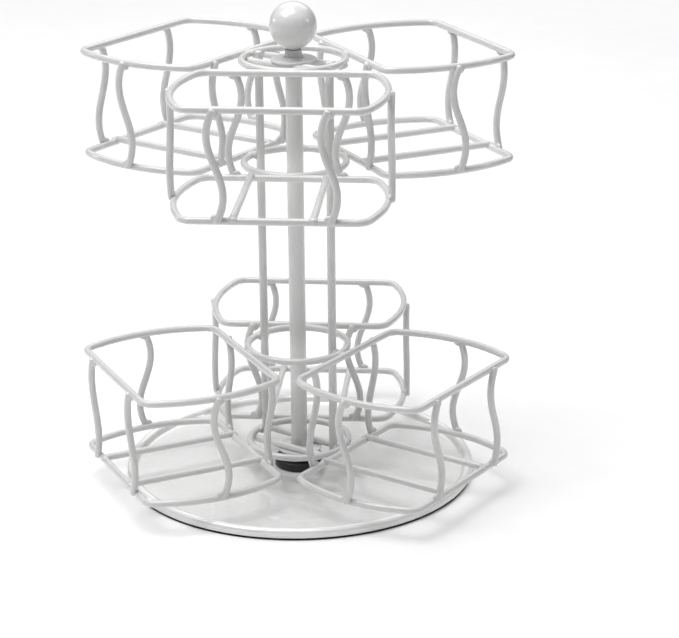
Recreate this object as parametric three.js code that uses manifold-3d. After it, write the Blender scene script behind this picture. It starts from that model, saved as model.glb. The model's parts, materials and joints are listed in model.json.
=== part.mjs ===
// Countertop rotating display rack: a round base plate carries a fixed centre post with a
// ball on top. A welded wire carousel turns on the post. It has two tiers of three wire
// baskets, and the lower tier is turned half a turn against the upper one.
// Millimetres, +Z up, origin at the centre of the base's underside, front towards -Y.

import * as THREE from 'three';
import { mergeVertices } from 'three/addons/utils/BufferGeometryUtils.js';
import Module from 'manifold-3d';

const wasm = await Module();
wasm.setup();

// ---- Driving dimensions -------------------------------------------------------------

const GAP = 0.3; // left between separate pieces that touch

const WIRE = 4.2; // diameter of the basket, ring and cross wires
const WIRE_SIDES = 6;

const RING_RADIUS = 30.3; // centre line of the four rings round the post
const BASKET_INNER = RING_RADIUS + WIRE + GAP; // axis to the basket's inner side
const BASKET_DEPTH = 84; // inner side to outer side, centre lines
const BASKET_HALF_WIDTH = 50; // at the corners, before they are rounded
const SIDE_BULGE = 10; // how far the two lateral sides arch outwards
const CORNER_RADIUS = 8;
const BASKET_HEIGHT = 62; // floor loop to rim loop
const TIER_HEIGHTS = { lower: 19, upper: 196 }; // height of each tier's floor loops
const UPPER_AZIMUTHS = { front: -90, right: 30, left: 150 };
const LOWER_AZIMUTHS = { rear: 90, left: -150, right: -30 };

const BAR_OFFSET = 22; // floor bars, either side of a basket's centre line
const BAR_LIFT = 1.5; // floor bars lie on the loop and are sunk into it by the weld

const RIB_OFFSET = 31; // inner and outer ribs, either side of a basket's centre line
const RIB_OUTSET = 1.8; // ribs stand this far outside the loops' centre line
const RIB_SWING = 4.2; // half the S from side to side
const RIB_STEPS = 10;

const ROD_RADIUS = 2.5;
const ROD_CIRCLE = RING_RADIUS - WIRE / 2 - ROD_RADIUS - GAP; // rods stand inside the rings
const ROD_AZIMUTHS = { rear: 150, front: -30 };
const ROD_OVERRUN = 2; // past the centres of the lowest and highest rings

const POST_RADIUS = 5;
const POST_CLEARANCE = 0.4; // radial, between the post and the turning hubs
const HUB_RADIUS = 13.5;
const HUB_THICKNESS = 1.4;
const HUB_SINK = 0.3; // the weld sinks the cross wires this far into the hub
const HUB_COLLAR_RADIUS = 6.6;
const HUB_COLLAR_HEIGHT = 1.2;
const CROSS_WIRE_OFFSET = 9; // cross wires pass this far either side of the axis
const CROSS_WIRE_DROP = 2.5; // and are welded this far under their ring's centre line

const BALL_RADIUS = 14;
const BALL_CENTRE = 278;
const BALL_NECK_BOTTOM = 264.5;
const STUD_RADIUS = 2.5; // threaded stud between post and ball, and screw shank
const BORE_RADIUS = STUD_RADIUS + GAP;

const PLATE_RADIUS = 107;
const PLATE_RIM_TOP = 6.8;
const PLATE_FLOOR_TOP = 2.6;
const PLATE_FLOOR_BOTTOM = 1.3;
const RIM_BOTTOM = 0.9;
const RIM_INNER_RADIUS = 101;
const GASKET_RADII = [99.5, 106.4];
const GASKET_THICKNESS = 0.6;
const BUSH_RADIUS = 11;
const BUSH_FLANGE_RADIUS = 15.2;
const BUSH_FLANGE_TOP = 8;
const SCREW_HEAD_RADIUS = 6;
const SCREW_HEAD_BOTTOM = 0.2;
const SCREW_TIP = 22;
const ROUND_SIDES = 24; // small turned pieces
const PLATE_SIDES = 48;

// ---- Materials ----------------------------------------------------------------------

const white = (roughness) =>
  new THREE.MeshStandardMaterial({ color: 0xeeedec, roughness, metalness: 0 });
const black = () =>
  new THREE.MeshStandardMaterial({ color: 0x101011, roughness: 0.6, metalness: 0 });
const steel = () =>
  new THREE.MeshStandardMaterial({ color: 0xb4b6b8, roughness: 0.35, metalness: 1 });

// ---- Shape helpers ------------------------------------------------------------------

const radians = (degrees) => (degrees * Math.PI) / 180;

/** Merge a geometry's shared vertices, keeping only positions. */
function closed(geometry) {
  geometry.deleteAttribute('normal');
  geometry.deleteAttribute('uv');
  return mergeVertices(geometry, 1e-4);
}

/** A manifold solid from a closed three.js geometry. */
function solid(geometry) {
  const merged = closed(geometry);
  return new wasm.Manifold(
    new wasm.Mesh({
      numProp: 3,
      vertProperties: Float32Array.from(merged.attributes.position.array),
      triVerts: Uint32Array.from(merged.index.array),
    }),
  );
}

/** Join closed geometries that overlap into one body. */
function join(geometries) {
  const joined = geometries.map(solid).reduce((body, piece) => body.add(piece)).getMesh();
  const geometry = new THREE.BufferGeometry();
  geometry.setAttribute('position', new THREE.BufferAttribute(joined.vertProperties, 3));
  geometry.setIndex(new THREE.BufferAttribute(joined.triVerts, 1));
  return geometry;
}

/** A closed chain of straight stretches, sampled exactly at its corner points. */
class ClosedChain extends THREE.Curve {
  constructor(points) {
    super();
    this.points = points;
  }

  getPoint(t, target = new THREE.Vector3()) {
    const count = this.points.length;
    const place = (((t % 1) + 1) % 1) * count;
    const first = Math.floor(place) % count;
    return target.lerpVectors(
      this.points[first],
      this.points[(first + 1) % count],
      place - Math.floor(place),
    );
  }

  getTangent(t, target = new THREE.Vector3()) {
    const step = 0.01 / this.points.length;
    return target.copy(this.getPoint(t + step)).sub(this.getPoint(t - step)).normalize();
  }

  getUtoTmapping(u) {
    return u;
  }
}

/** A wire bent along a closed chain of points: its two ends meet, so it has no open end. */
function wireLoop(points) {
  return new THREE.TubeGeometry(
    new ClosedChain(points),
    points.length,
    WIRE / 2,
    WIRE_SIDES,
    true,
  );
}

/** The outline of a round bar's section, as a polygon. */
function barSection(radius, sides) {
  const section = new THREE.Shape();
  for (let side = 0; side < sides; side += 1) {
    const angle = (2 * Math.PI * side) / sides;
    const corner = [radius * Math.cos(angle), radius * Math.sin(angle)];
    if (side === 0) section.moveTo(...corner);
    else section.lineTo(...corner);
  }
  section.closePath();
  return section;
}

/** A straight round bar between two points. */
function roundBar(from, to, radius, sides) {
  const bar = new THREE.ExtrudeGeometry(barSection(radius, sides), {
    depth: from.distanceTo(to),
    steps: 1,
    bevelEnabled: false,
  });
  const along = new THREE.Vector3().subVectors(to, from).normalize();
  bar.applyQuaternion(
    new THREE.Quaternion().setFromUnitVectors(new THREE.Vector3(0, 0, 1), along),
  );
  return bar.translate(from.x, from.y, from.z);
}

/** A turned piece from [radius, height] pairs, about the vertical axis. */
function turned(profile, sides) {
  const outline = profile.map(([radius, height]) => new THREE.Vector2(radius, height));
  return new THREE.LatheGeometry(outline, sides).rotateX(Math.PI / 2);
}

// ---- Scene graph --------------------------------------------------------------------

const rack = new THREE.Group();

function addPiece(parent, name, geometry, material) {
  const mesh = new THREE.Mesh(closed(geometry), material);
  mesh.name = name;
  parent.add(mesh);
}

// ---- Baskets ------------------------------------------------------------------------
// Each basket is drawn with its centre line along +Y and X across it, then turned into
// place. Its plan has a straight inner side, a straight outer side and two arched sides.

/** The basket's plan as centre-line points, counter-clockwise, at height z. */
function basketPlan(z) {
  const inner = BASKET_INNER;
  const outer = BASKET_INNER + BASKET_DEPTH;
  const middle = (inner + outer) / 2;
  const halfDepth = BASKET_DEPTH / 2;
  const archRadius = (halfDepth ** 2 + SIDE_BULGE ** 2) / (2 * SIDE_BULGE);
  const archCentre = BASKET_HALF_WIDTH + SIDE_BULGE - archRadius;
  // The corner arcs are tangent to the straight side and to the arch inside it.
  const cornerY = halfDepth - CORNER_RADIUS;
  const cornerX = archCentre + Math.sqrt((archRadius - CORNER_RADIUS) ** 2 - cornerY ** 2);
  const archAngle = Math.atan2(cornerY, cornerX - archCentre);

  const rightHalf = [];
  const cornerSteps = 3;
  const archSteps = 5;
  for (let step = 0; step <= cornerSteps; step += 1) {
    const angle = -Math.PI / 2 + ((Math.PI / 2 - archAngle) * step) / cornerSteps;
    rightHalf.push([
      cornerX + CORNER_RADIUS * Math.cos(angle),
      middle - cornerY + CORNER_RADIUS * Math.sin(angle),
    ]);
  }
  for (let step = 1; step < archSteps; step += 1) {
    const angle = -archAngle + (2 * archAngle * step) / archSteps;
    rightHalf.push([
      archCentre + archRadius * Math.cos(angle),
      middle + archRadius * Math.sin(angle),
    ]);
  }
  for (let step = 0; step <= cornerSteps; step += 1) {
    const angle = archAngle + ((Math.PI / 2 - archAngle) * step) / cornerSteps;
    rightHalf.push([
      cornerX + CORNER_RADIUS * Math.cos(angle),
      middle + cornerY + CORNER_RADIUS * Math.sin(angle),
    ]);
  }
  const leftHalf = rightHalf.map(([x, y]) => [-x, y]).reverse();
  return [...rightHalf, ...leftHalf].map(([x, y]) => new THREE.Vector3(x, y, z));
}

/** The floor loop with its two bars, which run from the inner to the outer side. */
function basketFloor(z) {
  const bars = [-BAR_OFFSET, BAR_OFFSET].map((x) =>
    roundBar(
      new THREE.Vector3(x, BASKET_INNER - 1, z + BAR_LIFT),
      new THREE.Vector3(x, BASKET_INNER + BASKET_DEPTH, z + BAR_LIFT),
      WIRE / 2,
      WIRE_SIDES,
    ),
  );
  return join([wireLoop(basketPlan(z)), ...bars]);
}

/** An upright S-curved rib whose flat ends stand between the two loops. */
function rib(floorHeight) {
  const reach = WIRE / 2 + GAP;
  const length = BASKET_HEIGHT - 2 * reach;
  const geometry = new THREE.ExtrudeGeometry(barSection(WIRE / 2, WIRE_SIDES), {
    depth: length,
    steps: RIB_STEPS,
    bevelEnabled: false,
  });
  // Seen from outside the basket, the lower half swings right and the upper half left.
  const place = geometry.attributes.position;
  for (let corner = 0; corner < place.count; corner += 1) {
    const turn = (2 * Math.PI * place.getZ(corner)) / length;
    place.setX(corner, place.getX(corner) + RIB_SWING * Math.sin(turn));
  }
  return geometry.translate(0, 0, floorHeight + reach);
}

/** Where each rib stands in plan, and the way its outside faces, in degrees from +Y. */
const RIB_PLACES = (() => {
  const inner = BASKET_INNER - RIB_OUTSET;
  const outer = BASKET_INNER + BASKET_DEPTH + RIB_OUTSET;
  const middle = BASKET_INNER + BASKET_DEPTH / 2;
  const side = BASKET_HALF_WIDTH + SIDE_BULGE + RIB_OUTSET;
  return {
    outer_rib_left: { x: -RIB_OFFSET, y: outer, facing: 180 },
    outer_rib_right: { x: RIB_OFFSET, y: outer, facing: 180 },
    right_side_rib: { x: side, y: middle, facing: 90 },
    inner_rib_right: { x: RIB_OFFSET, y: inner, facing: 0 },
    inner_rib_left: { x: -RIB_OFFSET, y: inner, facing: 0 },
    left_side_rib: { x: -side, y: middle, facing: -90 },
  };
})();

function addBasket(carousel, tier, position, azimuth) {
  const floorHeight = TIER_HEIGHTS[tier];
  const basket = new THREE.Group();
  basket.rotation.z = radians(azimuth - 90);
  const name = (piece) => `${tier}_${position}_${piece}`;
  addPiece(basket, name('floor'), basketFloor(floorHeight), white(0.3));
  addPiece(
    basket,
    name('rim_loop'),
    wireLoop(basketPlan(floorHeight + BASKET_HEIGHT)),
    white(0.3),
  );
  for (const [piece, { x, y, facing }] of Object.entries(RIB_PLACES)) {
    const geometry = rib(floorHeight).rotateZ(radians(facing)).translate(x, y, 0);
    addPiece(basket, name(piece), geometry, white(0.3));
  }
  carousel.add(basket);
}

// ---- Rings, hubs and rods -----------------------------------------------------------

/** A plain ring of wire at height z. */
function ring(z) {
  return new THREE.TorusGeometry(RING_RADIUS, WIRE / 2, WIRE_SIDES, PLATE_SIDES / 2)
    .translate(0, 0, z);
}

/** Two wires across under a ring, one each side of the post, in line with the rods. */
function crossWires(z) {
  const half = Math.sqrt(RING_RADIUS ** 2 - CROSS_WIRE_OFFSET ** 2);
  return [-CROSS_WIRE_OFFSET, CROSS_WIRE_OFFSET].map((y) =>
    roundBar(
      new THREE.Vector3(-half, y, z),
      new THREE.Vector3(half, y, z),
      WIRE / 2,
      WIRE_SIDES,
    ).rotateZ(radians(ROD_AZIMUTHS.rear)),
  );
}

/** The hub, with its underside at height z: a flat disc with a collar that runs on the post. */
function hub(z) {
  const bore = POST_RADIUS + POST_CLEARANCE;
  const face = z + HUB_THICKNESS;
  return turned(
    [
      [bore, z],
      [HUB_RADIUS, z],
      [HUB_RADIUS, face],
      [HUB_COLLAR_RADIUS, face],
      [HUB_COLLAR_RADIUS, face + HUB_COLLAR_HEIGHT],
      [bore, face + HUB_COLLAR_HEIGHT],
      [bore, z],
    ],
    ROUND_SIDES,
  );
}

function addRings(carousel) {
  const lowest = TIER_HEIGHTS.lower;
  const highest = TIER_HEIGHTS.upper + BASKET_HEIGHT;
  const lowCross = lowest - CROSS_WIRE_DROP;
  const highCross = highest - CROSS_WIRE_DROP;
  const lowHub = hub(lowCross - WIRE / 2 - HUB_THICKNESS + HUB_SINK);
  const highHub = hub(highCross + WIRE / 2 - HUB_SINK);
  addPiece(carousel, 'lower_hub_ring', join([ring(lowest), ...crossWires(lowCross), lowHub]),
    white(0.3));
  addPiece(carousel, 'lower_rim_ring', ring(lowest + BASKET_HEIGHT), white(0.3));
  addPiece(carousel, 'upper_floor_ring', ring(TIER_HEIGHTS.upper), white(0.3));
  addPiece(carousel, 'upper_hub_ring', join([ring(highest), ...crossWires(highCross), highHub]),
    white(0.3));
  for (const [position, azimuth] of Object.entries(ROD_AZIMUTHS)) {
    const x = ROD_CIRCLE * Math.cos(radians(azimuth));
    const y = ROD_CIRCLE * Math.sin(radians(azimuth));
    const rod = roundBar(
      new THREE.Vector3(x, y, lowest - ROD_OVERRUN),
      new THREE.Vector3(x, y, highest + ROD_OVERRUN),
      ROD_RADIUS,
      8,
    );
    addPiece(carousel, `${position}_rod`, rod, white(0.3));
  }
}

// ---- Stand --------------------------------------------------------------------------

/** A shallow pressed dish with a rolled rim and a hole for the screw. */
function basePlate() {
  const rimWall = PLATE_RADIUS - RIM_INNER_RADIUS;
  return turned(
    [
      [BORE_RADIUS, PLATE_FLOOR_BOTTOM],
      [RIM_INNER_RADIUS - 2.5, PLATE_FLOOR_BOTTOM],
      [RIM_INNER_RADIUS - 1.5, RIM_BOTTOM],
      [PLATE_RADIUS - 1, RIM_BOTTOM],
      [PLATE_RADIUS, RIM_BOTTOM + 1.2],
      [PLATE_RADIUS, PLATE_RIM_TOP - 2],
      [PLATE_RADIUS - 0.8, PLATE_RIM_TOP - 0.6],
      [PLATE_RADIUS - rimWall / 3, PLATE_RIM_TOP],
      [PLATE_RADIUS - rimWall / 1.7, PLATE_RIM_TOP],
      [RIM_INNER_RADIUS + 0.8, PLATE_RIM_TOP - 0.8],
      [RIM_INNER_RADIUS, PLATE_RIM_TOP - 2.2],
      [RIM_INNER_RADIUS - 1, PLATE_FLOOR_TOP + 0.5],
      [RIM_INNER_RADIUS - 3, PLATE_FLOOR_TOP],
      [BORE_RADIUS, PLATE_FLOOR_TOP],
      [BORE_RADIUS, PLATE_FLOOR_BOTTOM],
    ],
    PLATE_SIDES,
  );
}

/** A flat black ring that the plate's rim stands on. */
function baseGasket() {
  const [inner, outer] = GASKET_RADII;
  return turned(
    [
      [inner, 0],
      [outer, 0],
      [outer, GASKET_THICKNESS],
      [inner, GASKET_THICKNESS],
      [inner, 0],
    ],
    PLATE_SIDES,
  );
}

/** The post: bored at the foot for the screw, with a stud at the top for the ball. */
function centrePost() {
  const foot = PLATE_FLOOR_TOP + GAP;
  const shoulder = BALL_NECK_BOTTOM - GAP;
  return turned(
    [
      [0, SCREW_TIP + GAP],
      [BORE_RADIUS, SCREW_TIP + GAP],
      [BORE_RADIUS, foot],
      [POST_RADIUS, foot],
      [POST_RADIUS, shoulder],
      [STUD_RADIUS, shoulder],
      [STUD_RADIUS, BALL_CENTRE],
      [0, BALL_CENTRE],
    ],
    ROUND_SIDES,
  );
}

/** The ball with a short neck, bored from below for the post's stud. */
function ballFinial() {
  const boreTop = BALL_CENTRE + GAP;
  const neckAngle = Math.asin(POST_RADIUS / BALL_RADIUS) - Math.PI / 2;
  const profile = [
    [0, boreTop],
    [BORE_RADIUS, boreTop],
    [BORE_RADIUS, BALL_NECK_BOTTOM],
    [POST_RADIUS, BALL_NECK_BOTTOM],
  ];
  const steps = 10;
  for (let step = 0; step < steps; step += 1) {
    const angle = neckAngle + ((Math.PI / 2 - neckAngle) * step) / steps;
    profile.push([BALL_RADIUS * Math.cos(angle), BALL_CENTRE + BALL_RADIUS * Math.sin(angle)]);
  }
  profile.push([0, BALL_CENTRE + BALL_RADIUS]);
  return turned(profile, ROUND_SIDES);
}

/** The black flanged bush that the carousel's lower hub turns on. */
function bearingBush() {
  const bore = POST_RADIUS + GAP;
  const foot = PLATE_FLOOR_TOP + GAP;
  const hubUnderside = TIER_HEIGHTS.lower - CROSS_WIRE_DROP - WIRE / 2 - HUB_THICKNESS + HUB_SINK;
  const top = hubUnderside - GAP;
  return turned(
    [
      [bore, foot],
      [BUSH_FLANGE_RADIUS, foot],
      [BUSH_FLANGE_RADIUS, BUSH_FLANGE_TOP - 1],
      [BUSH_FLANGE_RADIUS - 1, BUSH_FLANGE_TOP],
      [BUSH_RADIUS, BUSH_FLANGE_TOP],
      [BUSH_RADIUS, top - 1],
      [BUSH_RADIUS - 1, top],
      [bore, top],
      [bore, foot],
    ],
    ROUND_SIDES,
  );
}

/** The screw that holds the post to the plate, head under the plate's floor. */
function baseScrew() {
  const headTop = PLATE_FLOOR_BOTTOM - GAP;
  return turned(
    [
      [0, SCREW_HEAD_BOTTOM],
      [SCREW_HEAD_RADIUS - 0.4, SCREW_HEAD_BOTTOM],
      [SCREW_HEAD_RADIUS, SCREW_HEAD_BOTTOM + 0.4],
      [SCREW_HEAD_RADIUS, headTop],
      [STUD_RADIUS, headTop],
      [STUD_RADIUS, SCREW_TIP],
      [0, SCREW_TIP],
    ],
    ROUND_SIDES,
  );
}

// ---- Assembly -----------------------------------------------------------------------

const stand = new THREE.Group();
addPiece(stand, 'base_plate', basePlate(), white(0.15));
addPiece(stand, 'base_gasket', baseGasket(), black());
addPiece(stand, 'base_screw', baseScrew(), steel());
addPiece(stand, 'bearing_bush', bearingBush(), black());
addPiece(stand, 'centre_post', centrePost(), white(0.3));
addPiece(stand, 'ball_finial', ballFinial(), white(0.15));
rack.add(stand);

const carousel = new THREE.Group();
addRings(carousel);
for (const [position, azimuth] of Object.entries(UPPER_AZIMUTHS)) {
  addBasket(carousel, 'upper', position, azimuth);
}
for (const [position, azimuth] of Object.entries(LOWER_AZIMUTHS)) {
  addBasket(carousel, 'lower', position, azimuth);
}
rack.add(carousel);

export default rack;
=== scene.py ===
"""Countertop rotating display rack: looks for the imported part.

A dished base plate carries a fixed post with a ball on top. A welded wire carousel with
two tiers of three baskets turns on the post. Every CAD node is replaced by a finely made
piece in the same place. Metres, +Z up, front towards -Y.
"""

import json
import math

import bmesh
import bpy
from mathutils import Matrix, Vector


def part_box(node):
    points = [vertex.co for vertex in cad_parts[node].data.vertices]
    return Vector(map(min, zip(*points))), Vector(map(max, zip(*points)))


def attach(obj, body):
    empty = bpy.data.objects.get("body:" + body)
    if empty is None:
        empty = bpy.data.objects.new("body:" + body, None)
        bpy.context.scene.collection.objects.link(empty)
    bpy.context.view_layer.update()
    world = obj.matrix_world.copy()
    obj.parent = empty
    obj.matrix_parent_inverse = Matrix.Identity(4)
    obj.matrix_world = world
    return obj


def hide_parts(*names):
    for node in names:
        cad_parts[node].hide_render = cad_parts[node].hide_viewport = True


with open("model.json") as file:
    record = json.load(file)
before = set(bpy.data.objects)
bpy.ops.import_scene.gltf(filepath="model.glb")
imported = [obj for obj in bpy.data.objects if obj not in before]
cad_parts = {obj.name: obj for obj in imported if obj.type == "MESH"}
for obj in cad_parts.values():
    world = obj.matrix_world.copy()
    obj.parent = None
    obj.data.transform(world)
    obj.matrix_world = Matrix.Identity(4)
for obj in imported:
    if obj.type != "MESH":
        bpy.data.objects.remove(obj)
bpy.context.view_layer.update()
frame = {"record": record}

MM = 0.001


# ---- Sizes ---------------------------------------------------------------------------


def middle(node, axis):
    """The middle of a CAD node's box along one axis, 0, 1 or 2."""
    low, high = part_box(node)
    return (low[axis] + high[axis]) / 2


def top(node):
    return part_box(node)[1].z


def foot(node):
    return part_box(node)[0].z


def radius(node):
    low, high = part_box(node)
    return (high.x - low.x) / 2


WIRE = 4.2 * MM  # diameter of the basket, ring and cross wires
WIRE_SIDES = 16

RING_RADIUS = 30.3 * MM  # centre line of the rings round the post
BASKET_INNER = 34.8 * MM  # axis to the centre line of a basket's inner side
BASKET_DEPTH = 84 * MM
BASKET_MIDDLE = BASKET_INNER + BASKET_DEPTH / 2
BASKET_HALF_WIDTH = 50 * MM  # at the corners, before they are rounded
SIDE_BULGE = 10 * MM  # how far the two lateral sides arch outwards
CORNER_RADIUS = 8 * MM
BASKET_HEIGHT = 62 * MM
BASKET_AZIMUTHS = {
    "upper_front": -90,
    "upper_right": 30,
    "upper_left": 150,
    "lower_rear": 90,
    "lower_left": -150,
    "lower_right": -30,
}

BAR_OFFSET = 22 * MM  # floor bars, either side of a basket's centre line
BAR_LIFT = 1.5 * MM  # they lie on the floor loop, sunk into it by the weld

RIB_OFFSET = 31 * MM  # inner and outer ribs, either side of a basket's centre line
RIB_OUTSET = 1.8 * MM  # ribs stand this far outside the loops' centre line
RIB_SWING = 4.2 * MM  # half the S from side to side
RIB_OVERRUN = 0.8 * MM  # past the loops' centre lines

ROD_RADIUS = 2.5 * MM
ROD_CIRCLE = 25.4 * MM
ROD_AZIMUTHS = {"rear": 150, "front": -30}
CROSS_WIRE_OFFSET = 9 * MM
CROSS_WIRE_DROP = 2.5 * MM  # they are welded this far under their ring's centre line

POST_RADIUS = 5 * MM
HUB_BORE = 5.4 * MM
HUB_RADIUS = 13.5 * MM
HUB_THICKNESS = 1.4 * MM
HUB_SINK = 0.3 * MM
COLLAR_HEIGHT = 1.2 * MM

WELD_MARK = "weld"  # the attribute that is 1 on weld beads and 0 elsewhere

LOWEST = middle("lower_rim_ring", 2) - BASKET_HEIGHT  # centre lines of the end rings
HIGHEST = middle("upper_floor_ring", 2) + BASKET_HEIGHT
BODY_OF = {
    node: body
    for body, nodes in frame["record"]["behaviour"]["bodies"].items()
    for node in nodes
}


# ---- Modelling helpers ---------------------------------------------------------------


def only(*objects):
    """Selects just these objects, with the first one active."""
    bpy.ops.object.select_all(action="DESELECT")
    for item in objects:
        item.select_set(True)
    bpy.context.view_layer.objects.active = objects[0]


def pick(item, test):
    """In edit mode, selects the vertices whose place passes the test."""
    mesh = bmesh.from_edit_mesh(item.data)
    for vertex in mesh.verts:
        vertex.select = bool(test(vertex.co))
    mesh.select_flush_mode()
    bmesh.update_edit_mesh(item.data)


def shape(item, move):
    """In edit mode, moves every vertex to move(its place)."""
    mesh = bmesh.from_edit_mesh(item.data)
    for vertex in mesh.verts:
        vertex.co = move(vertex.co)
    bmesh.update_edit_mesh(item.data)


def settle(item):
    """Puts the object's place, turn and scale into its mesh."""
    only(item)
    bpy.ops.object.transform_apply(location=True, rotation=True, scale=True)


def thicken(item, thickness, end_rounding=0.0):
    """Turns a path of edges or a curve into round bar, with its open ends rounded."""
    only(item)
    if item.type == "MESH":
        bpy.ops.object.convert(target="CURVE")
    item = bpy.context.object
    item.data.bevel_depth = thickness / 2
    item.data.bevel_resolution = WIRE_SIDES // 2 - 2
    item.data.use_fill_caps = True
    bpy.ops.object.convert(target="MESH")
    item = bpy.context.object
    bpy.ops.object.mode_set(mode="EDIT")
    bpy.ops.mesh.select_all(action="SELECT")
    bpy.ops.mesh.remove_doubles(threshold=0.001 * MM)
    bpy.ops.mesh.normals_make_consistent(inside=False)
    if end_rounding:
        bpy.ops.mesh.select_mode(type="FACE")
        mesh = bmesh.from_edit_mesh(item.data)
        for face in mesh.faces:
            face.select = len(face.verts) == 3
        bmesh.update_edit_mesh(item.data)
        bpy.ops.mesh.dissolve_faces()
        bpy.ops.mesh.region_to_loop()
        bpy.ops.mesh.bevel(offset=end_rounding, segments=4, profile=0.5)
        bpy.ops.mesh.select_mode(type="VERT")
    bpy.ops.object.mode_set(mode="OBJECT")
    bpy.ops.object.shade_smooth()
    return item


def round_bar(start, end, thickness):
    """A straight round bar between two places, with rounded ends."""
    bpy.ops.mesh.primitive_plane_add(size=2)
    bar = bpy.context.object
    bpy.ops.object.mode_set(mode="EDIT")
    pick(bar, lambda place: place.y > 0)
    bpy.ops.mesh.delete(type="VERT")
    shape(bar, lambda place: start if place.x < 0 else end)
    bpy.ops.object.mode_set(mode="OBJECT")
    return thicken(bar, thickness, end_rounding=0.3 * thickness)


def join(name, *items):
    """Joins pieces of one welded part into one object."""
    only(*items)
    if len(items) > 1:
        bpy.ops.object.join()
    joined = bpy.context.object
    joined.name = name
    joined.data.name = name
    return joined


def copy_of(item):
    """A copy with its own mesh."""
    twin = item.copy()
    twin.data = item.data.copy()
    bpy.context.collection.objects.link(twin)
    return twin


def placed(item, place=(0, 0, 0), turn=0.0):
    """Turns an object about Z, moves it to its place and settles it."""
    item.matrix_world = Matrix.Translation(place) @ Matrix.Rotation(turn, 4, "Z")
    settle(item)
    return item


def discard(*items):
    for item in items:
        bpy.data.objects.remove(item)


def weld_bead(place, size, turn=0.0):
    """A paint-covered weld nugget: an egg of the given half sizes in the joint's corners."""
    bpy.ops.mesh.primitive_uv_sphere_add(segments=12, ring_count=8, radius=1)
    bead = bpy.context.object
    bead.matrix_world = (
        Matrix.Translation(place)
        @ Matrix.Rotation(turn, 4, "Z")
        @ Matrix.Diagonal((*size, 1))
    )
    settle(bead)
    bpy.ops.object.shade_smooth()
    mark = bead.data.attributes.new(WELD_MARK, "FLOAT", "POINT")
    for point in mark.data:
        point.value = 1.0
    return bead


def turned(name, outline, steps=96):
    """A turned piece. The half section is drawn by extruding one vertex through its
    (radius, height, rounding) points, its corners are rounded, and it is spun about Z."""
    first = outline[0]
    bpy.ops.mesh.primitive_plane_add(size=2)
    piece = bpy.context.object
    piece.name = name
    piece.data.name = name
    bpy.ops.object.mode_set(mode="EDIT")
    pick(piece, lambda place: place.x > 0 or place.y > 0)
    bpy.ops.mesh.delete(type="VERT")
    bpy.ops.mesh.select_all(action="SELECT")
    shape(piece, lambda place: Vector((first[0], 0, first[1])))
    for before, after in zip(outline, outline[1:]):
        step = (after[0] - before[0], 0, after[1] - before[1])
        bpy.ops.mesh.extrude_vertices_move(TRANSFORM_OT_translate={"value": step})
    for at, height, rounding in outline:
        if rounding:
            corner = Vector((at, 0, height))
            pick(piece, lambda place, corner=corner: (place - corner).length < 1e-6)
            bpy.ops.mesh.bevel(
                affect="VERTICES", offset_type="OFFSET", offset=rounding, segments=6, profile=0.5
            )
    bpy.ops.mesh.select_all(action="SELECT")
    bpy.ops.mesh.spin(steps=steps, angle=math.tau, center=(0, 0, 0), axis=(0, 0, 1))
    bpy.ops.mesh.select_all(action="SELECT")
    bpy.ops.mesh.remove_doubles(threshold=0.002 * MM)
    bpy.ops.mesh.normals_make_consistent(inside=False)
    bpy.ops.object.mode_set(mode="OBJECT")
    bpy.ops.object.shade_smooth_by_angle(angle=math.radians(40))
    return piece


def stands_for(piece, node, material):
    """The piece rides with its CAD node, is shown instead of it and has its finish."""
    piece.data.materials.clear()
    piece.data.materials.append(material)
    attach(piece, BODY_OF[node])
    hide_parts(node)


# ---- Studio --------------------------------------------------------------------------

CAMERA_AZIMUTH = math.radians(6.0)  # to the right of the front
CAMERA_DISTANCE = 1297 * MM
CAMERA_HEIGHT = 564 * MM
CAMERA_YAW = math.radians(-1.12)  # off the axis, to the right
CAMERA_PITCH = math.radians(-19.8)
CAMERA_ROLL = math.radians(-0.53)
CAMERA_LENS = 120.7  # on a sensor 36 wide

FLOOR_RADIUS = 6
SIDE_LIGHT = 0.05  # strength of the world near the horizon
CEILING_LIGHT = 0.76  # and overhead
CEILING_EDGE = (0.4, 0.9)  # heights on the unit sphere between which it brightens
SOFTBOXES = {  # name: (place, target, size, watts)
    "overhead_softbox": ((-0.45, -0.2, 1.6), (0, 0, 0), (1.0, 1.3), 20.5),
    "rear_softbox": ((0, 1.6, 1.5), (0, 1.2, 0), (2.4, 1.4), 13),
    "backdrop_softbox": ((0, 3.2, 1.0), (0, 0, 0.2), (4.0, 1.6), 8),
    "left_softbox": ((-1.5, 0.4, 0.55), (0, 0, 0.2), (0.14, 0.22), 1.1),
    "right_softbox": ((1.5, -0.1, 0.85), (0, 0, 0.2), (0.14, 0.22), 1.3),
}


def add_camera():
    camera = bpy.data.objects.new("camera", bpy.data.cameras.new("camera"))
    bpy.context.collection.objects.link(camera)
    camera.data.sensor_width = 36
    camera.data.lens = CAMERA_LENS
    camera.location = (
        CAMERA_DISTANCE * math.sin(CAMERA_AZIMUTH),
        -CAMERA_DISTANCE * math.cos(CAMERA_AZIMUTH),
        CAMERA_HEIGHT,
    )
    heading = Matrix.Rotation(CAMERA_AZIMUTH + CAMERA_YAW, 4, "Z")
    tilt = Matrix.Rotation(math.pi / 2 + CAMERA_PITCH, 4, "X")
    roll = Matrix.Rotation(CAMERA_ROLL, 4, "Z")
    camera.rotation_euler = (heading @ tilt @ roll).to_euler()
    bpy.context.scene.camera = camera


def add_softbox(name, place, target, size, watts):
    """A rectangular area light at a place, turned to a target."""
    light = bpy.data.lights.new(name, "AREA")
    light.shape = "RECTANGLE"
    light.size, light.size_y = size
    light.energy = watts
    softbox = bpy.data.objects.new(name, light)
    bpy.context.collection.objects.link(softbox)
    softbox.location = place
    aim = Vector(target) - Vector(place)
    softbox.rotation_euler = aim.to_track_quat("-Z", "Y").to_euler()


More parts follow.
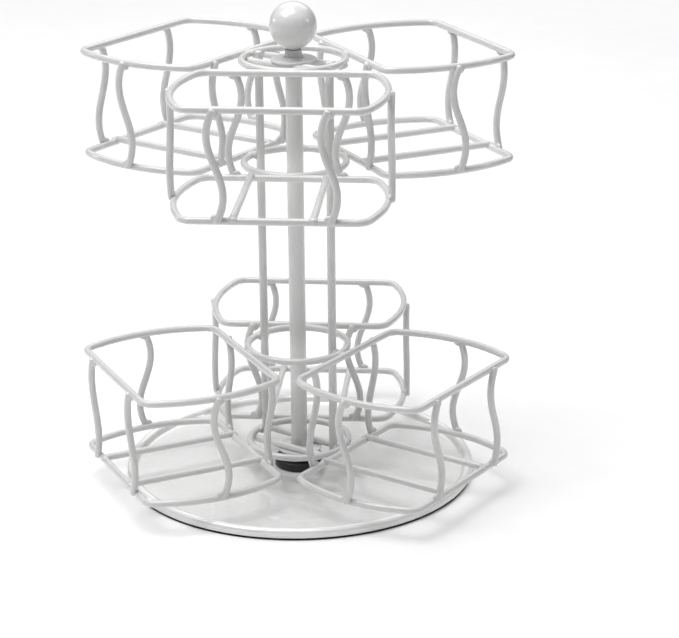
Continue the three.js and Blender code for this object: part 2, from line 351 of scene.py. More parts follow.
def add_floor(material):
    """A pale floor, wide enough to fill every view from above."""
    bpy.ops.mesh.primitive_circle_add(vertices=96, radius=FLOOR_RADIUS, fill_type="NGON")
    floor = bpy.context.object
    floor.name = "floor"
    floor.data.materials.append(material)


def add_world():
    """Dim light from the sides and more from above, as under a white ceiling."""
    world = bpy.data.worlds.new("studio")
    world.use_nodes = True
    tree = world.node_tree
    background = tree.nodes["Background"]
    background.inputs["Color"].default_value = (1, 1, 1, 1)
    heading = tree.nodes.new("ShaderNodeTexCoord")
    upward = tree.nodes.new("ShaderNodeSeparateXYZ")
    ceiling = tree.nodes.new("ShaderNodeMapRange")
    ceiling.interpolation_type = "SMOOTHSTEP"
    ceiling.inputs["From Min"].default_value = CEILING_EDGE[0]
    ceiling.inputs["From Max"].default_value = CEILING_EDGE[1]
    ceiling.inputs["To Min"].default_value = SIDE_LIGHT
    ceiling.inputs["To Max"].default_value = CEILING_LIGHT
    tree.links.new(heading.outputs["Generated"], upward.inputs["Vector"])
    tree.links.new(upward.outputs["Z"], ceiling.inputs["Value"])
    tree.links.new(ceiling.outputs["Result"], background.inputs["Strength"])
    bpy.context.scene.world = world


# ---- Materials -----------------------------------------------------------------------
# Patterns read Object coordinates in metres, so a noise scale of 1000 is about 1 mm.


def add_node(tree, kind, inputs=None, **settings):
    """Adds a node. Its inputs are constants, or other nodes' outputs to link from."""
    made = tree.nodes.new(f"ShaderNode{kind}")
    for setting, value in settings.items():
        setattr(made, setting, value)
    for socket, value in (inputs or {}).items():
        if isinstance(value, bpy.types.NodeSocket):
            tree.links.new(value, made.inputs[socket])
        else:
            made.inputs[socket].default_value = value
    return made


def times(tree, first, second):
    return add_node(tree, "Math", {0: first, 1: second}, operation="MULTIPLY").outputs[0]


def plus(tree, first, second):
    return add_node(tree, "Math", {0: first, 1: second}, operation="ADD").outputs[0]


def in_range(tree, value, low, high, to_low=0.0, to_high=1.0):
    """The value's stretch from low to high, spread smoothly over another range."""
    sockets = {
        "Value": value, "From Min": low, "From Max": high, "To Min": to_low, "To Max": to_high,
    }
    return add_node(tree, "MapRange", sockets, interpolation_type="SMOOTHSTEP").outputs["Result"]


def blend(tree, share, first, second):
    """A colour between two colours."""
    mixer = add_node(tree, "Mix", data_type="RGBA")
    for socket, value in ((0, share), (6, first), (7, second)):
        if isinstance(value, bpy.types.NodeSocket):
            tree.links.new(value, mixer.inputs[socket])
        else:
            mixer.inputs[socket].default_value = value
    return mixer.outputs[2]


def noise(tree, place, scale, detail=2.0, rough=0.5):
    sockets = {"Vector": place, "Scale": scale, "Detail": detail, "Roughness": rough}
    return add_node(tree, "TexNoise", sockets).outputs["Fac"]


def new_group(name, inputs, outputs):
    """A shader node group with the given {name: kind} sockets."""
    tree = bpy.data.node_groups.new(name, "ShaderNodeTree")
    for side, sockets in (("INPUT", inputs), ("OUTPUT", outputs)):
        for socket, kind in sockets.items():
            tree.interface.new_socket(socket, in_out=side, socket_type=f"NodeSocket{kind}")
    given = tree.nodes.new("NodeGroupInput").outputs
    wanted = tree.nodes.new("NodeGroupOutput").inputs
    return tree, given, wanted


def orange_peel_group():
    """The gentle pebbling of a sprayed and baked coat, with slow waves under it."""
    tree, given, wanted = new_group(
        "orange_peel",
        {
            "Place": "Vector",
            "Pebble Scale": "Float",
            "Pebble Depth": "Float",
            "Wave Depth": "Float",
        },
        {"Height": "Float"},
    )
    pebbles = noise(tree, given["Place"], given["Pebble Scale"], detail=1.0)
    slow_scale = times(tree, given["Pebble Scale"], 0.16)
    waves = noise(tree, given["Place"], slow_scale, detail=0.0)
    height = plus(
        tree,
        times(tree, pebbles, given["Pebble Depth"]),
        times(tree, waves, given["Wave Depth"]),
    )
    tree.links.new(height, wanted["Height"])
    return tree


def tone_drift_group():
    """Two near shades of one colour in broad clouds with a finer mottle over them."""
    tree, given, wanted = new_group(
        "tone_drift",
        {"Place": "Vector", "Cloud Scale": "Float", "Shade A": "Color", "Shade B": "Color"},
        {"Colour": "Color"},
    )
    clouds = noise(tree, given["Place"], given["Cloud Scale"], detail=3.0, rough=0.6)
    mottle = noise(tree, given["Place"], times(tree, given["Cloud Scale"], 22.0), detail=2.0)
    both = plus(tree, times(tree, clouds, 0.72), times(tree, mottle, 0.28))
    share = in_range(tree, both, 0.36, 0.64)
    tree.links.new(blend(tree, share, given["Shade A"], given["Shade B"]), wanted["Colour"])
    return tree


def gloss_drift_group():
    """Roughness that wanders between two values, with fine rubbed streaks along Z."""
    tree, given, wanted = new_group(
        "gloss_drift",
        {"Place": "Vector", "Patch Scale": "Float", "Smooth": "Float", "Dull": "Float"},
        {"Roughness": "Float"},
    )
    patches = noise(tree, given["Place"], given["Patch Scale"], detail=4.0, rough=0.62)
    drawn_out = add_node(
        tree, "VectorMath", {0: given["Place"], 1: (1, 1, 0.12)}, operation="MULTIPLY"
    ).outputs["Vector"]
    streaks = noise(tree, drawn_out, times(tree, given["Patch Scale"], 9.0), detail=2.0)
    both = plus(tree, times(tree, patches, 0.7), times(tree, streaks, 0.3))
    share = in_range(tree, both, 0.36, 0.66)
    spread = add_node(
        tree, "Math", {0: given["Dull"], 1: given["Smooth"]}, operation="SUBTRACT"
    ).outputs[0]
    roughness = plus(tree, given["Smooth"], times(tree, share, spread))
    tree.links.new(roughness, wanted["Roughness"])
    return tree


def settled_dust_group():
    """A mask of fine specks that lie on the faces that look up."""
    tree, given, wanted = new_group(
        "settled_dust",
        {"Place": "Vector", "Speck Scale": "Float", "Amount": "Float"},
        {"Mask": "Float"},
    )
    cells = add_node(
        tree, "TexVoronoi", {"Vector": given["Place"], "Scale": given["Speck Scale"]}
    )
    specks = in_range(tree, cells.outputs["Distance"], 0.22, 0.06)
    chosen = add_node(tree, "SeparateColor", {"Color": cells.outputs["Color"]}).outputs["Red"]
    few = in_range(tree, chosen, 0.7, 0.8)
    normal = add_node(tree, "TexCoord").outputs["Normal"]
    upward = in_range(
        tree, add_node(tree, "SeparateXYZ", {"Vector": normal}).outputs["Z"], 0.2, 0.95
    )
    mask = times(tree, times(tree, specks, few), times(tree, upward, given["Amount"]))
    tree.links.new(mask, wanted["Mask"])
    return tree


ORANGE_PEEL = orange_peel_group()
TONE_DRIFT = tone_drift_group()
GLOSS_DRIFT = gloss_drift_group()
SETTLED_DUST = settled_dust_group()

DUST_COLOUR = (0.5, 0.48, 0.45, 1)


def use_group(tree, group, **sockets):
    """Places a node group in a material; a socket's spaces are written as underscores."""
    used = tree.nodes.new("ShaderNodeGroup")
    used.node_tree = group
    for socket, value in sockets.items():
        goal = used.inputs[socket.replace("_", " ")]
        if isinstance(value, bpy.types.NodeSocket):
            tree.links.new(value, goal)
        else:
            goal.default_value = value
    return used.outputs[0]


def new_finish(name, **constants):
    """A material with constants on its shader's own sockets: (it, tree, shader, place)."""
    material = bpy.data.materials.new(name)
    material.use_nodes = True
    tree = material.node_tree
    shader = tree.nodes["Principled BSDF"]
    for socket, value in constants.items():
        shader.inputs[socket.replace("_", " ")].default_value = value
    place = add_node(tree, "TexCoord").outputs["Object"]
    return material, tree, shader, place


def relief(tree, shader, height, distance):
    """Feeds a height, in shares of a distance, to the shader's normal."""
    bump = add_node(tree, "Bump", {"Height": height, "Distance": distance})
    tree.links.new(bump.outputs["Normal"], shader.inputs["Normal"])


def wire_finish():
    """Powder coat on wire: pebblier over the welds, with painted shade darkening the weld beads in
    the joints' corners, dusty along the top.
    """
    material, tree, shader, place = new_finish("wire_powder_coat", Coat_Roughness=0.06)
    weld = add_node(tree, "Attribute", attribute_name=WELD_MARK).outputs["Fac"]
    coat = use_group(
        tree, TONE_DRIFT, Place=place, Cloud_Scale=38.0,
        Shade_A=(0.645, 0.645, 0.641, 1), Shade_B=(0.69, 0.69, 0.686, 1),
    )
    # painted shade: the weld beads in the joints' corners are blended towards a darker grey
    weld_corner_shade = times(tree, weld, 0.35)
    coat = blend(tree, weld_corner_shade, coat, (0.59, 0.59, 0.582, 1))
    dust = use_group(tree, SETTLED_DUST, Place=place, Speck_Scale=900.0, Amount=0.35)
    tree.links.new(blend(tree, dust, coat, DUST_COLOUR), shader.inputs["Base Color"])
    gloss = use_group(
        tree, GLOSS_DRIFT, Place=place, Patch_Scale=60.0, Smooth=0.16, Dull=0.26
    )
    tree.links.new(plus(tree, gloss, times(tree, dust, 0.3)), shader.inputs["Roughness"])
    coat_weight = in_range(tree, gloss, 0.16, 0.26, 0.8, 0.4)
    tree.links.new(coat_weight, shader.inputs["Coat Weight"])
    peel = use_group(
        tree, ORANGE_PEEL, Place=place, Pebble_Scale=620.0, Pebble_Depth=0.3, Wave_Depth=0.5
    )
    lumps = times(tree, noise(tree, place, 900.0, detail=2.0), times(tree, weld, 1.1))
    relief(tree, shader, plus(tree, peel, lumps), 0.06 * MM)
    return material


def plate_finish():
    """High-gloss coat on the dish: faint rings from pressing, specks and light scuffs."""
    material, tree, shader, place = new_finish(
        "plate_gloss_coat", Coat_Roughness=0.02, Coat_IOR=2.0
    )
    coat = use_group(
        tree, TONE_DRIFT, Place=place, Cloud_Scale=16.0,
        Shade_A=(0.84, 0.84, 0.836, 1), Shade_B=(0.87, 0.87, 0.866, 1),
    )
    dust = use_group(tree, SETTLED_DUST, Place=place, Speck_Scale=520.0, Amount=0.5)
    tree.links.new(blend(tree, dust, coat, DUST_COLOUR), shader.inputs["Base Color"])
    gloss = use_group(
        tree, GLOSS_DRIFT, Place=place, Patch_Scale=22.0, Smooth=0.03, Dull=0.07
    )
    scuffs = in_range(tree, noise(tree, place, 75.0, detail=6.0, rough=0.75), 0.6, 0.74)
    roughness = plus(tree, gloss, plus(tree, times(tree, scuffs, 0.04), times(tree, dust, 0.3)))
    tree.links.new(roughness, shader.inputs["Roughness"])
    tree.links.new(in_range(tree, gloss, 0.03, 0.07, 1.0, 0.8), shader.inputs["Coat Weight"])
    peel = use_group(
        tree, ORANGE_PEEL, Place=place, Pebble_Scale=420.0, Pebble_Depth=0.03, Wave_Depth=0.1
    )
    sockets = {"Vector": place, "Scale": 28.0, "Distortion": 0.6, "Detail": 1.0}
    pressed = add_node(
        tree, "TexWave", sockets, wave_type="RINGS", rings_direction="Z"
    ).outputs["Fac"]
    relief(tree, shader, plus(tree, peel, times(tree, pressed, 0.08)), 0.02 * MM)
    return material


def post_finish():
    """Gloss coat on the post, rubbed duller in bands where the two hubs turn."""
    material, tree, shader, place = new_finish("post_gloss_coat", Coat_Roughness=0.05)
    coat = use_group(
        tree, TONE_DRIFT, Place=place, Cloud_Scale=30.0,
        Shade_A=(0.7, 0.7, 0.695, 1), Shade_B=(0.745, 0.745, 0.741, 1),
    )
    height = add_node(tree, "SeparateXYZ", {"Vector": place}).outputs["Z"]
    rubbed = 0.0
    for hub_height in (LOWEST, HIGHEST):
        off = add_node(tree, "Math", {0: height, 1: hub_height}, operation="SUBTRACT").outputs[0]
        away = add_node(tree, "Math", {0: off}, operation="ABSOLUTE").outputs[0]
        rubbed = plus(tree, rubbed, in_range(tree, away, 9 * MM, 3 * MM))
    sockets = {"Vector": place, "Scale": 800.0, "Distortion": 1.0, "Detail": 2.0}
    rings = add_node(
        tree, "TexWave", sockets, wave_type="BANDS", bands_direction="Z"
    ).outputs["Fac"]
    wear = times(tree, times(tree, rubbed, rings), 0.35)
    worn = (0.56, 0.56, 0.55, 1)
    tree.links.new(blend(tree, wear, coat, worn), shader.inputs["Base Color"])
    gloss = use_group(
        tree, GLOSS_DRIFT, Place=place, Patch_Scale=50.0, Smooth=0.15, Dull=0.25
    )
    tree.links.new(plus(tree, gloss, times(tree, wear, 0.5)), shader.inputs["Roughness"])
    tree.links.new(in_range(tree, gloss, 0.15, 0.25, 0.8, 0.4), shader.inputs["Coat Weight"])
    peel = use_group(
        tree, ORANGE_PEEL, Place=place, Pebble_Scale=560.0, Pebble_Depth=0.25, Wave_Depth=0.45
    )
    relief(tree, shader, plus(tree, peel, times(tree, wear, -0.6)), 0.05 * MM)
    return material


def ball_finish():
    """The smoothest coat, with a few handling smears, over a turned ball."""
    material, tree, shader, place = new_finish("ball_gloss_coat", Coat_Roughness=0.04)
    coat = use_group(
        tree, TONE_DRIFT, Place=place, Cloud_Scale=55.0,
        Shade_A=(0.71, 0.71, 0.705, 1), Shade_B=(0.75, 0.75, 0.746, 1),
    )
    dust = use_group(tree, SETTLED_DUST, Place=place, Speck_Scale=700.0, Amount=0.3)
    tree.links.new(blend(tree, dust, coat, DUST_COLOUR), shader.inputs["Base Color"])
    smears = in_range(tree, noise(tree, place, 130.0, detail=5.0, rough=0.7), 0.5, 0.72)
    gloss = use_group(
        tree, GLOSS_DRIFT, Place=place, Patch_Scale=80.0, Smooth=0.2, Dull=0.3
    )
    tree.links.new(plus(tree, gloss, times(tree, smears, 0.1)), shader.inputs["Roughness"])
    tree.links.new(in_range(tree, smears, 0.0, 1.0, 0.85, 0.6), shader.inputs["Coat Weight"])
    peel = use_group(
        tree, ORANGE_PEEL, Place=place, Pebble_Scale=480.0, Pebble_Depth=0.25, Wave_Depth=0.5
    )
    relief(tree, shader, peel, 0.05 * MM)
    return material


def rubber_finish():
    """Matte black rubber: fine moulded grain, greyed by dust and rubbing."""
    material, tree, shader, place = new_finish("gasket_rubber", Specular_IOR_Level=0.35)
    rubber = use_group(
        tree, TONE_DRIFT, Place=place, Cloud_Scale=60.0,
        Shade_A=(0.012, 0.012, 0.013, 1), Shade_B=(0.028, 0.028, 0.029, 1),
    )
    dust = use_group(tree, SETTLED_DUST, Place=place, Speck_Scale=1400.0, Amount=0.6)
    tree.links.new(blend(tree, dust, rubber, DUST_COLOUR), shader.inputs["Base Color"])
    gloss = use_group(
        tree, GLOSS_DRIFT, Place=place, Patch_Scale=90.0, Smooth=0.6, Dull=0.85
    )
    tree.links.new(gloss, shader.inputs["Roughness"])
    relief(tree, shader, noise(tree, place, 2600.0, detail=3.0, rough=0.7), 0.06 * MM)
    return material


def bush_finish():
    """Satin black nylon with fine turning lines round it."""
    material, tree, shader, place = new_finish("bush_nylon", Specular_IOR_Level=0.4)
    nylon = use_group(
        tree, TONE_DRIFT, Place=place, Cloud_Scale=120.0,
        Shade_A=(0.01, 0.01, 0.011, 1), Shade_B=(0.022, 0.022, 0.024, 1),
    )
    dust = use_group(tree, SETTLED_DUST, Place=place, Speck_Scale=1200.0, Amount=0.5)
    tree.links.new(blend(tree, dust, nylon, DUST_COLOUR), shader.inputs["Base Color"])
    gloss = use_group(
        tree, GLOSS_DRIFT, Place=place, Patch_Scale=110.0, Smooth=0.34, Dull=0.55
    )
    tree.links.new(gloss, shader.inputs["Roughness"])
    sockets = {"Vector": place, "Scale": 1100.0, "Distortion": 0.8, "Detail": 2.0}
    lines = add_node(
        tree, "TexWave", sockets, wave_type="BANDS", bands_direction="Z"
    ).outputs["Fac"]
    grain = noise(tree, place, 1900.0, detail=2.0)
    relief(tree, shader, plus(tree, times(tree, lines, 0.6), times(tree, grain, 0.4)), 0.05 * MM)
    return material


def screw_finish():
    """Zinc-plated steel, turned: fine rings and a bluish to yellowish cast."""
    material, tree, shader, place = new_finish("screw_zinc", Metallic=1.0)
    zinc = use_group(
        tree, TONE_DRIFT, Place=place, Cloud_Scale=260.0,
        Shade_A=(0.5, 0.52, 0.55, 1), Shade_B=(0.66, 0.64, 0.6, 1),
    )
    tree.links.new(zinc, shader.inputs["Base Color"])
    gloss = use_group(
        tree, GLOSS_DRIFT, Place=place, Patch_Scale=300.0, Smooth=0.24, Dull=0.46
    )
    tree.links.new(gloss, shader.inputs["Roughness"])
    sockets = {"Vector": place, "Scale": 1500.0, "Distortion": 0.4, "Detail": 1.0}
    rings = add_node(
        tree, "TexWave", sockets, wave_type="RINGS", rings_direction="Z"
    ).outputs["Fac"]
    relief(tree, shader, rings, 0.03 * MM)
    return material


def floor_finish():
    """Pale matte paper with a faint fibre grain."""
    material, tree, shader, place = new_finish("studio_paper", Specular_IOR_Level=0.25)
    paper = use_group(
        tree, TONE_DRIFT, Place=place, Cloud_Scale=1.6,
        Shade_A=(0.9, 0.9, 0.9, 1), Shade_B=(0.93, 0.93, 0.93, 1),
    )
    tree.links.new(paper, shader.inputs["Base Color"])
    gloss = use_group(tree, GLOSS_DRIFT, Place=place, Patch_Scale=3.0, Smooth=0.6, Dull=0.75)
    tree.links.new(gloss, shader.inputs["Roughness"])
    relief(tree, shader, noise(tree, place, 900.0, detail=4.0, rough=0.7), 0.05 * MM)
    return material


WIRE_COAT = wire_finish()
PLATE_COAT = plate_finish()
POST_COAT = post_finish()
BALL_COAT = ball_finish()
RUBBER = rubber_finish()
BUSH_NYLON = bush_finish()
SCREW_ZINC = screw_finish()
PAPER = floor_finish()


# ---- Baskets -------------------------------------------------------------------------
# Each basket is modelled with its centre line along +Y and X across it.

ARCH_RADIUS = ((BASKET_DEPTH / 2) ** 2 + SIDE_BULGE**2) / (2 * SIDE_BULGE)
ARCH_CENTRE = BASKET_HALF_WIDTH + SIDE_BULGE - ARCH_RADIUS


def basket_loop():
    """The closed loop of a basket's rim or floor, flat at height 0."""
    bpy.ops.mesh.primitive_plane_add(size=1)
    loop = bpy.context.object
    bpy.ops.object.mode_set(mode="EDIT")
    shape(loop, lambda place: Vector((2 * BASKET_HALF_WIDTH * place.x, BASKET_DEPTH * place.y, 0)))
    bpy.ops.mesh.delete(type="ONLY_FACE")
    bpy.ops.mesh.select_mode(type="EDGE")
    mesh = bmesh.from_edit_mesh(loop.data)
    for edge in mesh.edges:
        edge.select = abs(edge.verts[0].co.x - edge.verts[1].co.x) < 0.1 * MM
    bmesh.update_edit_mesh(loop.data)
    bpy.ops.mesh.subdivide(number_cuts=11)
    bpy.ops.mesh.select_mode(type="VERT")

    def arched(place):
        if abs(place.x) < BASKET_HALF_WIDTH - 0.1 * MM:
            return place
        reach = ARCH_CENTRE + math.sqrt(ARCH_RADIUS**2 - place.y**2)
        return Vector((math.copysign(reach, place.x), place.y, 0))

    shape(loop, arched)
    pick(loop, lambda place: abs(place.y) > BASKET_DEPTH / 2 - 0.1 * MM)
    turn = math.pi / 2 - math.asin(BASKET_DEPTH / 2 / ARCH_RADIUS)
    bpy.ops.mesh.bevel(
        affect="VERTICES", offset=CORNER_RADIUS * math.tan(turn / 2), segments=8, profile=0.5
    )
    bpy.ops.object.mode_set(mode="OBJECT")
    loop = thicken(loop, WIRE)
    return placed(loop, (0, BASKET_MIDDLE, 0))


def basket_floor(loop):
    """The floor loop with its two bars and their welds, at height 0."""
    parts = [copy_of(loop)]
    for x in (-BAR_OFFSET, BAR_OFFSET):
        inner = Vector((x, BASKET_INNER - 1 * MM, BAR_LIFT))
        outer = Vector((x, BASKET_INNER + BASKET_DEPTH, BAR_LIFT))
        parts.append(round_bar(inner, outer, WIRE))
        for end in (BASKET_INNER, BASKET_INNER + BASKET_DEPTH):
            parts.append(weld_bead((x, end, 0.6 * BAR_LIFT), (3.3 * MM, 2.7 * MM, 1.9 * MM)))
    return join("basket_floor", *parts)


def rib():
    """An S-curved rib standing on height 0, with its outside towards -Y, and its end welds."""
    bpy.ops.curve.primitive_bezier_curve_add()
    curve = bpy.context.object
    curve.data.resolution_u = 28
    foot_point, head_point = curve.data.splines[0].bezier_points
    pull = RIB_SWING / 0.2887
    for point, height, handle, side in (
        (foot_point, -RIB_OVERRUN, 0.42 * BASKET_HEIGHT, pull),
        (head_point, BASKET_HEIGHT + RIB_OVERRUN, 0.58 * BASKET_HEIGHT, -pull),
    ):
        point.handle_left_type = point.handle_right_type = "FREE"
        point.co = (0, 0, height)
        point.handle_left = point.handle_right = (side, 0, handle)
    bar = thicken(curve, WIRE, end_rounding=0.3 * WIRE)
    weld_lift = 1.4 * MM
    beads = [
        weld_bead((0, RIB_OUTSET / 2, height), (3.3 * MM, 1.7 * MM, 2.8 * MM))
        for height in (weld_lift, BASKET_HEIGHT - weld_lift)
    ]
    return join("rib", bar, *beads)


RIB_PLACES = {
    "outer_rib_left": (-RIB_OFFSET, BASKET_INNER + BASKET_DEPTH + RIB_OUTSET, 180),
    "outer_rib_right": (RIB_OFFSET, BASKET_INNER + BASKET_DEPTH + RIB_OUTSET, 180),
    "right_side_rib": (BASKET_HALF_WIDTH + SIDE_BULGE + RIB_OUTSET, BASKET_MIDDLE, 90),
    "inner_rib_right": (RIB_OFFSET, BASKET_INNER - RIB_OUTSET, 0),
    "inner_rib_left": (-RIB_OFFSET, BASKET_INNER - RIB_OUTSET, 0),
    "left_side_rib": (-BASKET_HALF_WIDTH - SIDE_BULGE - RIB_OUTSET, BASKET_MIDDLE, -90),
}


def add_baskets():
    loop = basket_loop()
    floor = basket_floor(loop)
    one_rib = rib()
    for basket, azimuth in BASKET_AZIMUTHS.items():
        turn = math.radians(azimuth - 90)
        rim_height = middle(f"{basket}_rim_loop", 2)
        floor_height = rim_height - BASKET_HEIGHT
        wires = {
            "rim_loop": placed(copy_of(loop), (0, 0, rim_height), turn),
            "floor": placed(copy_of(floor), (0, 0, floor_height), turn),
        }
        for piece, (x, y, facing) in RIB_PLACES.items():
            wire = placed(copy_of(one_rib), (x, y, floor_height), math.radians(facing))
            wires[piece] = placed(wire, turn=turn)
        for piece, wire in wires.items():
            node = f"{basket}_{piece}"
            stands_for(join(f"{node}_wire", wire), node, WIRE_COAT)
    discard(loop, floor, one_rib)


# ---- Rings, hubs and rods ------------------------------------------------------------


def ring(height):
    """A ring of wire round the post, with the swelling of its butt weld at the back."""
    bpy.ops.mesh.primitive_torus_add(
        major_segments=96, minor_segments=WIRE_SIDES, major_radius=RING_RADIUS,
        minor_radius=WIRE / 2, location=(0, 0, height),
    )
    wire = bpy.context.object
    settle(wire)
    bpy.ops.object.mode_set(mode="EDIT")
    weld_half_length = 2.5 * MM
    pick(wire, lambda place: place.y > 0 and abs(place.x) < weld_half_length)
    seam = Vector((0, RING_RADIUS, height))
    bpy.ops.transform.resize(value=(1, 1.1, 1.1), center_override=seam)
    bpy.ops.object.mode_set(mode="OBJECT")
    bpy.ops.object.shade_smooth()
    return wire


def basket_welds(height, tier):
    """The welds between a ring and the inner sides of the three baskets round it."""
    reach = (RING_RADIUS + BASKET_INNER) / 2
    beads = []
    for basket, azimuth in BASKET_AZIMUTHS.items():
        if basket.startswith(tier):
            turn = math.radians(azimuth)
            place = (reach * math.cos(turn), reach * math.sin(turn), height)
            beads.append(weld_bead(place, (1.6 * MM, 4.5 * MM, 1.7 * MM), turn))
    return beads


def cross_wires(height):
    """Two wires under a ring in line with the rods, one each side of the post, with welds.

    The height is that of the wires' own centre lines."""
    turn = math.radians(ROD_AZIMUTHS["rear"])
    half = math.sqrt(RING_RADIUS**2 - CROSS_WIRE_OFFSET**2)
    parts = []
    for across in (-CROSS_WIRE_OFFSET, CROSS_WIRE_OFFSET):
        start, end = Vector((-half, across, height)), Vector((half, across, height))
        parts.append(placed(round_bar(start, end, WIRE), turn=turn))
        for along in (-half, half):
            joint = Vector((along, across, height + CROSS_WIRE_DROP / 3))
            place = Matrix.Rotation(turn, 3, "Z") @ joint
            parts.append(weld_bead(place, (2.9 * MM, 2.9 * MM, 2.2 * MM), turn))
    return parts


def hub(height):
    """The pressed disc that runs on the post, its underside at a height, collar upwards."""
    face = height + HUB_THICKNESS
    collar_top = face + COLLAR_HEIGHT
    outline = [
        (HUB_BORE, height, 0.3 * MM),
        (HUB_RADIUS, height, 0.5 * MM),
        (HUB_RADIUS, face, 0.5 * MM),
        (HUB_BORE + 1.2 * MM, face, 0.9 * MM),
        (HUB_BORE + 1.0 * MM, collar_top, 0.4 * MM),
        (HUB_BORE, collar_top, 0.3 * MM),
        (HUB_BORE, height, 0),
    ]
    return turned("hub", outline, steps=64)


def add_rings():
    low_cross = LOWEST - CROSS_WIRE_DROP
    high_cross = HIGHEST - CROSS_WIRE_DROP
    low_hub = hub(low_cross - WIRE / 2 - HUB_THICKNESS + HUB_SINK)
    high_hub = hub(high_cross + WIRE / 2 - HUB_SINK)
    rings = {
        "lower_hub_ring": (LOWEST, "lower", [low_hub, *cross_wires(low_cross)]),
        "lower_rim_ring": (LOWEST + BASKET_HEIGHT, "lower", []),
        "upper_floor_ring": (HIGHEST - BASKET_HEIGHT, "upper", []),
        "upper_hub_ring": (HIGHEST, "upper", [high_hub, *cross_wires(high_cross)]),
    }
    for node, (height, tier, fittings) in rings.items():
        wire = join(f"{node}_wire", ring(height), *basket_welds(height, tier), *fittings)
        stands_for(wire, node, WIRE_COAT)
    for position, azimuth in ROD_AZIMUTHS.items():
        node = f"{position}_rod"
        turn = math.radians(azimuth)
        outward = Vector((math.cos(turn), math.sin(turn), 0))
        axis = ROD_CIRCLE * outward
        rod = round_bar(
            axis + Vector((0, 0, foot(node))), axis + Vector((0, 0, top(node))), 2 * ROD_RADIUS
        )
        touch = (ROD_CIRCLE + ROD_RADIUS) * outward
        beads = [
            weld_bead(touch + Vector((0, 0, height)), (1.5 * MM, 3.6 * MM, 2.6 * MM), turn)
            for height, _, _ in rings.values()
        ]
        stands_for(join(f"{node}_bar", rod, *beads), node, WIRE_COAT)


# ---- Stand ---------------------------------------------------------------------------

PLATE_RADIUS = radius("base_plate")
RIM_TOP = top("base_plate")
RIM_BOTTOM = foot("base_plate")
RIM_ROLL = (RIM_TOP - RIM_BOTTOM) / 2
PLATE_TOP = 2.6 * MM
PLATE_BOTTOM = 1.3 * MM
SCREW_RADIUS = 2.5 * MM
GAP = 0.3 * MM  # between pieces that fit together
BORE_RADIUS = SCREW_RADIUS + GAP
GASKET_INNER = 99.5 * MM
BUSH_NECK_RADIUS = 11 * MM
BUSH_FLANGE_TOP = 8 * MM


def base_plate():
    """A shallow pressed dish with its edge rolled over into a round rim."""
    roll_centre = PLATE_RADIUS - RIM_ROLL
    outline = [(BORE_RADIUS, PLATE_BOTTOM, 0)]
    outline.append((roll_centre - RIM_ROLL - 1.2 * MM, PLATE_BOTTOM, 0.6 * MM))
    middle_height = (RIM_TOP + RIM_BOTTOM) / 2
    for step in range(29):
        angle = math.radians(-112 + (292 - 8) * step / 28)
        outward, upward = math.cos(angle), math.sin(angle)
        if outward > 0 > upward:  # the roll is pressed squarer where it stands
            outward, upward = outward**0.6, -(abs(upward) ** 0.6)
        outline.append(
            (roll_centre + RIM_ROLL * outward, middle_height + RIM_ROLL * upward, 0)
        )
    outline += [
        (roll_centre - RIM_ROLL - 0.9 * MM, PLATE_TOP, 0.8 * MM),
        (BORE_RADIUS, PLATE_TOP, 0.1 * MM),
        (BORE_RADIUS, PLATE_BOTTOM, 0),
    ]
    return turned("base_plate_dish", outline, steps=192)


def base_gasket():
    """The black anti-slip ring under the rim, with two shallow grooves in its underside."""
    inner, outer = GASKET_INNER, radius("base_gasket") - GAP
    height = top("base_gasket")
    groove = 0.2 * MM
    outline = [(inner, 0, 0.12 * MM)]
    for share in (0.3, 0.65):
        at = inner + share * (outer - inner)
        outline += [
            (at - 0.5 * MM, 0, 0), (at - 0.3 * MM, groove, 0),
            (at + 0.3 * MM, groove, 0), (at + 0.5 * MM, 0, 0),
        ]
    outline += [(outer, 0, 0.2 * MM), (outer, height, 0.2 * MM), (inner, height, 0.12 * MM)]
    outline.append((inner, 0, 0))
    return turned("base_gasket_ring", outline, steps=192)


def centre_post():
    """The post: bored at its foot for the screw, with the ball's stud at its head."""
    low = foot("centre_post")
    shoulder = foot("ball_finial") - GAP
    bore_top = top("base_screw") + GAP
    outline = [
        (0, bore_top, 0),
        (BORE_RADIUS, bore_top, 0.1 * MM),
        (BORE_RADIUS, low, 0.1 * MM),
        (POST_RADIUS, low, 0.4 * MM),
        (POST_RADIUS, shoulder, 0.5 * MM),
        (SCREW_RADIUS, shoulder, 0.2 * MM),
        (SCREW_RADIUS, top("centre_post"), 0.3 * MM),
        (0, top("centre_post"), 0),
    ]
    return turned("centre_post_bar", outline, steps=64)


def ball_finial():
    """The ball with a short seat, bored from below for the stud."""
    ball_radius = radius("ball_finial")
    centre = top("ball_finial") - ball_radius
    seat = foot("ball_finial")
    bore_top = top("centre_post") + GAP
    seat_angle = math.asin(POST_RADIUS / ball_radius) - math.pi / 2
    outline = [
        (0, bore_top, 0),
        (BORE_RADIUS, bore_top, 0.1 * MM),
        (BORE_RADIUS, seat, 0.1 * MM),
        (POST_RADIUS - 0.4 * MM, seat, 0.3 * MM),
    ]
    steps = 40
    for step in range(steps):
        angle = seat_angle + (math.pi / 2 - seat_angle) * step / steps
        outline.append(
            (ball_radius * math.cos(angle), centre + ball_radius * math.sin(angle), 0)
        )
    outline.append((0, centre + ball_radius, 0))
    return turned("ball_finial_ball", outline, steps=96)


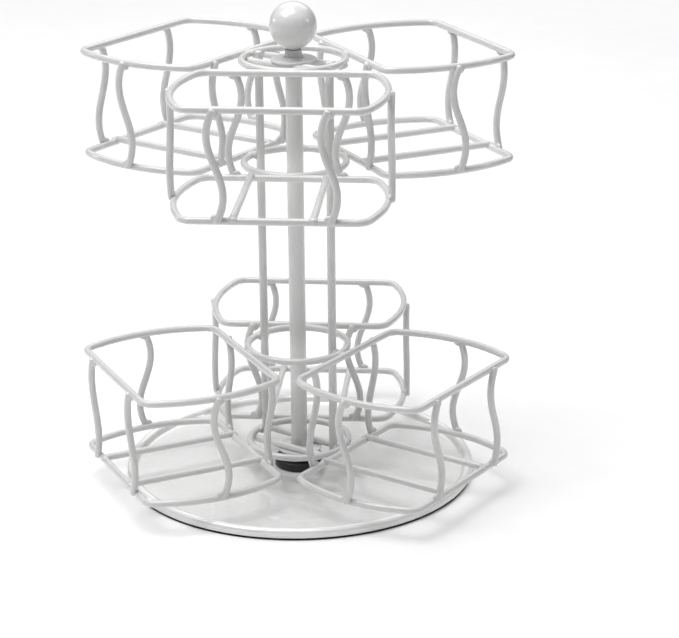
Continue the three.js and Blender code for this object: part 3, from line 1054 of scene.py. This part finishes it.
def bearing_bush():
    """The black flanged bush under the lower hub, with a shallow groove round its neck."""
    bore = POST_RADIUS + GAP
    low, high = foot("bearing_bush"), top("bearing_bush")
    flange = radius("bearing_bush")
    side = BUSH_NECK_RADIUS
    waist = (BUSH_FLANGE_TOP + high) / 2
    outline = [
        (bore, low, 0.2 * MM),
        (flange, low, 0.4 * MM),
        (flange, BUSH_FLANGE_TOP, 1.0 * MM),
        (side + 0.2 * MM, BUSH_FLANGE_TOP, 0.6 * MM),
        (side, waist - 1.0 * MM, 0.2 * MM),
        (side - 0.6 * MM, waist - 0.7 * MM, 0.2 * MM),
        (side - 0.6 * MM, waist + 0.7 * MM, 0.2 * MM),
        (side, waist + 1.0 * MM, 0.2 * MM),
        (side, high, 0.8 * MM),
        (bore, high, 0.2 * MM),
        (bore, low, 0),
    ]
    return turned("bearing_bush_turned", outline, steps=64)


def base_screw():
    """The pan-head screw under the plate, with a cross recess in its head."""
    head_bottom = foot("base_screw")
    head_top = PLATE_BOTTOM - GAP
    head_radius = radius("base_screw")
    tip = top("base_screw")
    outline = [
        (0, head_bottom, 0),
        (head_radius - 0.8 * MM, head_bottom, 0.3 * MM),
        (head_radius, head_bottom + 0.45 * MM, 0.12 * MM),
        (head_radius, head_top, 0.2 * MM),
        (SCREW_RADIUS, head_top, 0.1 * MM),
        (SCREW_RADIUS, tip - 1 * MM, 0),
        (SCREW_RADIUS - 0.8 * MM, tip, 0),
        (0, tip, 0),
    ]
    screw = turned("base_screw_pan_head", outline, steps=48)
    for turn in (0, math.pi / 2):
        bpy.ops.mesh.primitive_cube_add(size=1)
        blade = bpy.context.object
        blade.matrix_world = (
            Matrix.Translation((0, 0, head_bottom))
            @ Matrix.Rotation(turn, 4, "Z")
            @ Matrix.Diagonal((5 * MM, 1.1 * MM, 1.0 * MM, 1))
        )
        settle(blade)
        only(screw)
        cut = screw.modifiers.new("recess", "BOOLEAN")
        cut.object = blade
        cut.operation = "DIFFERENCE"
        bpy.ops.object.modifier_apply(modifier=cut.name)
        discard(blade)
    return screw


def add_stand():
    for make, node, slot, material in (
        (base_plate, "base_plate", "plate_coat", PLATE_COAT),
        (base_gasket, "base_gasket", "gasket_rubber", RUBBER),
        (base_screw, "base_screw", "screw_steel", SCREW_ZINC),
        (bearing_bush, "bearing_bush", "bush_plastic", BUSH_NYLON),
        (centre_post, "centre_post", "post_coat", POST_COAT),
        (ball_finial, "ball_finial", "ball_coat", BALL_COAT),
    ):
        stands_for(make(), node, material)


# ---- Assembly ------------------------------------------------------------------------

add_camera()
add_floor(PAPER)
add_world()
for name, (place, target, size, watts) in SOFTBOXES.items():
    add_softbox(name, place, target, size, watts)
bpy.context.scene.view_settings.view_transform = "Standard"
add_baskets()
add_rings()
add_stand()
